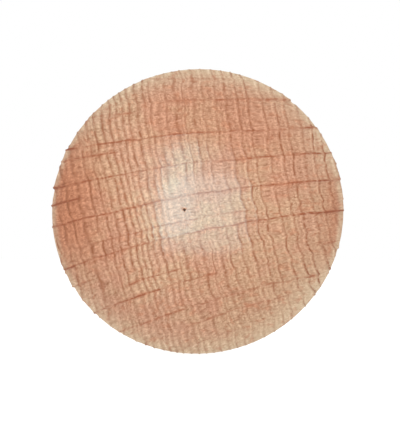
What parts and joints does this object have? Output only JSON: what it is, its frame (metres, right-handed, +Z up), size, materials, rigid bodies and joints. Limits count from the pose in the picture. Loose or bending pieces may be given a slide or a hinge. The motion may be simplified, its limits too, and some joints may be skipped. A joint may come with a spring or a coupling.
{
  "type": "croquet ball",
  "caption": "Turned hardwood croquet ball, slightly oval from drying, with end grain at its poles, stopped lathe centre holes and a clear satin coat.",
  "frame": {"origin": "centre of the ball", "axes": "+Y along the wood's grain, which is the turning axis, towards the back pole; +Z up, against the floor that the ball rests on; +X to the right when the front pole, at -Y, is looked at"},
  "size_m": [0.0914, 0.0924, 0.0894],
  "materials": {
    "hardwood": "natural pinkish tan hardwood with broad red-brown rays and close growth bands, turned smooth",
    "dark_stopping": "dark brown wood stopping, matte",
    "clear_lacquer": "clear satin lacquer film"
  },
  "bodies": {
    "root": {"turned_ball": "hardwood", "front_centre_plug": "dark_stopping", "back_centre_plug": "dark_stopping", "clear_lacquer_coat": "clear_lacquer"}
  },
  "joints": []
}
